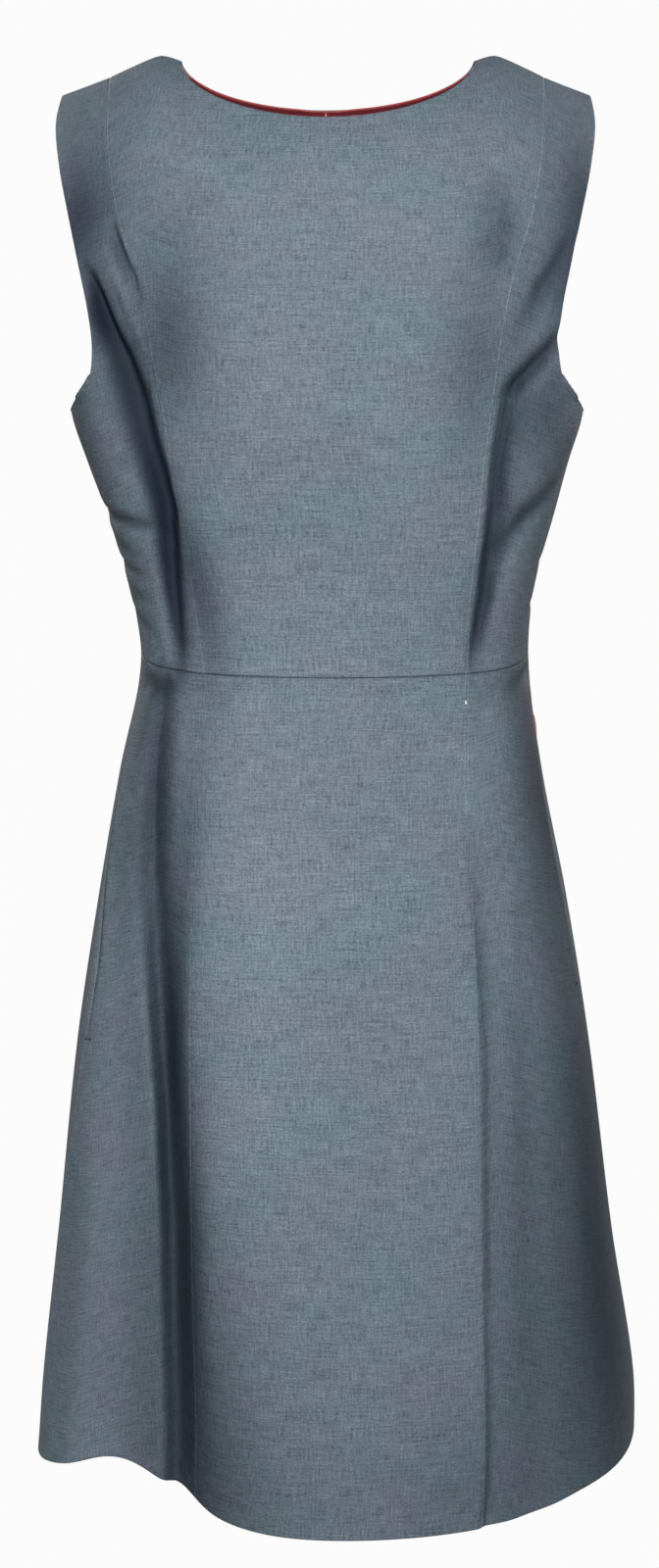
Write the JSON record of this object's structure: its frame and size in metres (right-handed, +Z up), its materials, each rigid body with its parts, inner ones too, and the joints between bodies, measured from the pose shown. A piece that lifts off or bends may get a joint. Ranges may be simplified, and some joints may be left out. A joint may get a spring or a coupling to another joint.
{
  "type": "sleeveless dress",
  "caption": "Sleeveless blue-grey denim dress with a fitted bodice, a red-faced boat neck, a waist seam and an A-line skirt with pockets in its side seams.",
  "frame": {"origin": "midway between the two shoulders, level with their highest points, where a wearer or a hanger holds the dress up", "axes": "+Z up, -Y the front of the dress, +X the right-hand side of somebody looking at the front"},
  "size_m": [0.4171, 0.3216, 0.9606],
  "materials": {
    "denim": "washed blue-grey chambray denim",
    "red_lining": "dark red plain-woven cotton",
    "zip_nylon": "dark blue woven zip tape",
    "zip_metal": "satin grey enamel"
  },
  "bodies": {
    "dress": {"bodice_front_centre": "denim", "bodice_front_side_left": "denim", "bodice_front_side_right": "denim", "bodice_back_left": "denim", "bodice_back_right": "denim", "skirt_front_centre": "denim", "skirt_front_side_left": "denim", "skirt_front_side_right": "denim", "skirt_back_left": "denim", "skirt_back_right": "denim", "neck_facing_front": "red_lining", "neck_facing_back_left": "red_lining", "neck_facing_back_right": "red_lining", "pocket_facing_left": "denim", "pocket_facing_right": "denim", "pocket_bag_left": "red_lining", "pocket_bag_right": "red_lining", "zip_tape_left": "zip_nylon", "zip_tape_right": "zip_nylon", "zip_slider": "zip_metal"},
    "zip_pull": {"zip_pull": "zip_metal"}
  },
  "joints": [
    {"name": "zip_pull_swing", "type": "hinge", "parent": "dress", "child": "zip_pull", "pos_m": [-0.00255, 0.06966, -0.04331], "axis": [1, 0, 0], "range_deg": [0, 150]}
  ]
}
